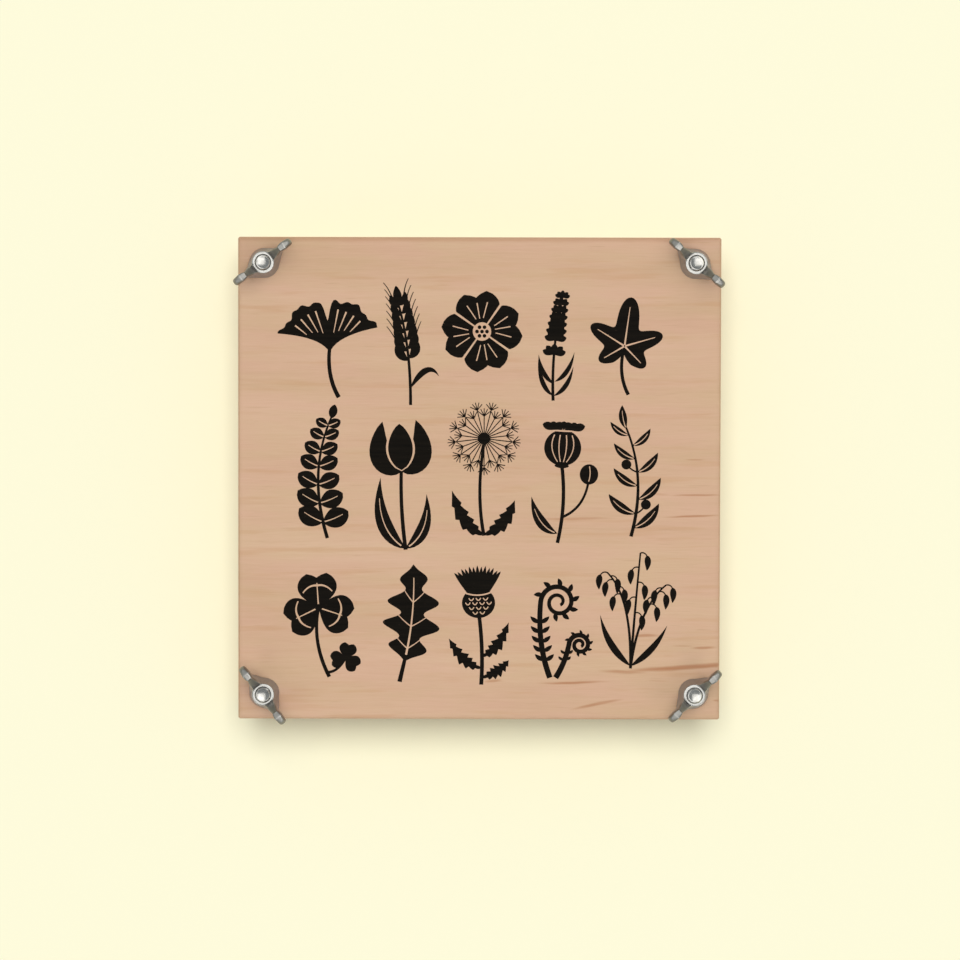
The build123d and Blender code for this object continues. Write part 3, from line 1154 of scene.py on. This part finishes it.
def inked_triangles(shapes):
    """Points and triangles of what stays inked once every outline is laid over the earlier ones."""
    points, faces = [], []
    for _, outline in shapes:
        start = len(points)
        points.extend(to_the_left(outline))
        faces.append(list(range(start, len(points))))
    flat, _, triangles, _, _, within = delaunay_2d_cdt(points, [], faces, 1, POINT_MERGE, True)
    return flat, [t for t, covers in zip(triangles, within) if covers and shapes[max(covers)][0]]


def film(points, triangles, low, high):
    """A thin closed film over the triangles, between two heights."""
    used = sorted({i for t in triangles for i in t})
    number = {old: new for new, old in enumerate(used)}
    count = len(used)
    vertices = [(points[i].x * MM, points[i].y * MM, z) for z in (high, low) for i in used]
    faces, edges = [], set()
    for t in triangles:
        a = [number[i] for i in t]
        faces += [tuple(a), tuple(i + count for i in reversed(a))]
        edges.update(zip(a, a[1:] + a[:1]))
    faces += [(b, a, a + count, b + count) for a, b in edges if (b, a) not in edges]
    return vertices, faces


def make_print(material):
    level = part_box("top_board")[1].z
    shells = []
    for motif, x, y, turn in LAYOUT:
        flat, triangles = inked_triangles(list(moved(motif(), x, y, turn)))
        shells.append(film(flat, triangles, level - FILM_SUNK * MM, level + FILM_PROUD * MM))
    mesh = bpy.data.meshes.new("botanical_print")
    vertices, faces = join_shells(*shells)
    mesh.from_pydata(vertices, [], faces)
    mesh.update()
    keep("botanical_print", mesh, material, "top_board")


# Stage

PAPER = srgb(251, 251, 225)
# The shares of the light that falls on a level surface add up to 1, where a colour renders as written
WORLD_SHARE = 0.29
WORLD_TINT = (0.93, 1.01, 1.06)  # the key sun is as much warmer
KEY_SUN = (0.365, 12.0, 60.0)  # share, degrees from straight above towards the back, degrees across
TOP_BOX = (0.12, 0.8, (0.0, 0.0, 1.6))  # share, side, place
CORNER_BOX_SHARES = {(-1, 1): 0.022, (-1, -1): 0.055, (1, 1): 0.058, (1, -1): 0.09}  # by the side in x and y
CORNER_BOX_SIDE = 1.4
CORNER_BOX_PLACE = (1.62, 1.62, 1.93)
# The floor has a lamp of its own, narrower, so that the press throws a short shadow
FLOOR_SUN = (1 - WORLD_SHARE, 12.5, 29.0)
FLOOR_SUN_TINT = (1.072, 1.003, 0.908)  # brings the cooler paper to cream, and leaves its shadow cool
FLOOR_SIZE = 120.0  # out of sight in low views too
FLOOR_TUCK = 0.5 * MM  # how far the floor reaches in under the press
UNDER_BOX = (0.7, 3.0, (0.0, 0.0, -1.5))  # share, side, place: lights the underside


def make_sun(name, share, tilt, width, receivers, tint):
    """A soft sun that shows in no reflection, with that share of the light on a level surface."""
    lamp = bpy.data.lights.new(name, "SUN")
    lamp.angle = radians(width)
    lamp.energy = share * pi / cos(radians(tilt))
    lamp.color = tint
    sun = link(name, lamp)
    sun.light_linking.receiver_collection = receivers
    sun.rotation_euler = (-radians(tilt), 0, 0)
    sun.visible_glossy = False


def make_softbox(name, share, side, place, receivers=None):
    """A square lamp aimed at the press, with that share of the light on a level surface."""
    place = Vector(place)
    half = side / 2 / place.length
    slant = half / hypot(1, half)
    filled = 4 / pi * slant * atan(slant) * abs(place.z) / place.length
    lamp = bpy.data.lights.new(name, "AREA")
    lamp.size = side
    lamp.energy = share / filled * pi * side**2
    box = link(name, lamp)
    box.light_linking.receiver_collection = receivers
    box.location = place
    box.rotation_euler = place.to_track_quat("Z", "Y").to_euler()
    box.visible_camera = False


def floor_mesh():
    """A wide floor of cream paper, open under the press so that its underside shows from below."""
    half = FLOOR_SIZE / 2
    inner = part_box("bottom_board")[1].x - FLOOR_TUCK
    signs = ((-1, -1), (1, -1), (1, 1), (-1, 1))
    vertices = [(x * side, y * side, 0) for side in (half, inner) for x, y in signs]
    faces = [(k, (k + 1) % 4, 4 + (k + 1) % 4, 4 + k) for k in range(4)]
    mesh = bpy.data.meshes.new("floor")
    mesh.from_pydata(vertices, [], faces)
    paper = Shader("cream_floor")
    paper.output(paper.add("BsdfDiffuse", {"Color": PAPER}))
    cover(mesh, paper.material)
    return mesh


def make_stage():
    """Floor, lights, world and camera."""
    floor = link("floor", floor_mesh())
    only_floor = bpy.data.collections.new("only_floor")
    only_floor.objects.link(floor)
    but_floor = bpy.data.collections.new("but_floor")
    but_floor.objects.link(floor)
    but_floor.collection_objects[0].light_linking.link_state = "EXCLUDE"
    make_sun("floor_sun", *FLOOR_SUN, only_floor, FLOOR_SUN_TINT)
    key_tint = [1 + (1 - tint) * WORLD_SHARE / KEY_SUN[0] for tint in WORLD_TINT]
    make_sun("key_sun", *KEY_SUN, but_floor, key_tint)
    make_softbox("top_box", *TOP_BOX, but_floor)
    reach_x, reach_y, height = CORNER_BOX_PLACE
    for (x, y), share in CORNER_BOX_SHARES.items():
        make_softbox("corner_box", share, CORNER_BOX_SIDE, (x * reach_x, y * reach_y, height), but_floor)
    make_softbox("under_box", *UNDER_BOX)

    world = bpy.data.worlds.new("studio")
    world.use_nodes = True
    background = world.node_tree.nodes["Background"]
    background.inputs["Color"].default_value = (*WORLD_TINT, 1.0)
    background.inputs["Strength"].default_value = WORLD_SHARE
    bpy.context.scene.world = world

    camera = bpy.data.cameras.new("camera")
    camera.sensor_width = SENSOR_WIDTH
    camera.lens = SENSOR_WIDTH * CAMERA_DISTANCE / FRAME_WIDTH
    eye = link("camera", camera)
    turned = Euler((-radians(CAMERA_LEAN), 0, radians(CAMERA_ROLL)))
    away = Vector((0, 0, CAMERA_DISTANCE))
    away.rotate(turned)
    eye.rotation_euler = turned
    eye.location = Vector((*CAMERA_AIM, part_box("top_board")[1].z)) + away
    bpy.context.scene.camera = eye
    bpy.context.scene.view_settings.view_transform = "Standard"


# Build

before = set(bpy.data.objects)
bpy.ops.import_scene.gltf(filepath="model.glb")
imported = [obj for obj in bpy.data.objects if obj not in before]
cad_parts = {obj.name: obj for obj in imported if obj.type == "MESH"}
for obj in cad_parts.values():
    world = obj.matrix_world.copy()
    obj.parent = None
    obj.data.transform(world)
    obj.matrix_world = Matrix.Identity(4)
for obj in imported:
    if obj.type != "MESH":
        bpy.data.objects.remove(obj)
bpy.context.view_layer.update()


def paint(node, material):
    """Gives a node of the frame its material."""
    cover(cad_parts[node].data, material)


def main():
    half_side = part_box("top_board")[1].x
    paint("top_board", maple("maple_top", (0, 0, 0), TOP_STREAKS, half_side))
    paint("bottom_board", maple("maple_bottom", BOTTOM_SHIFT, BOTTOM_STREAKS, half_side))
    for number, node in enumerate(BLOTTERS, start=1):
        paint(node, blotting(node, number))
    nut_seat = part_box("wing_nut_front_left")[0].z
    make_wing_nuts(zinc("zinc_nut", nut_seat + HUB_HEIGHT * MM, NUT_FACED_ROUGHNESS))
    bolt_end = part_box("hex_bolt_front_left")[1].z
    make_bolts(zinc("zinc_bolt", bolt_end, BOLT_FACED_ROUGHNESS))
    make_cardboards(kraft("kraft_paper"))
    make_print(ink("black_ink"))
    make_stage()


main()
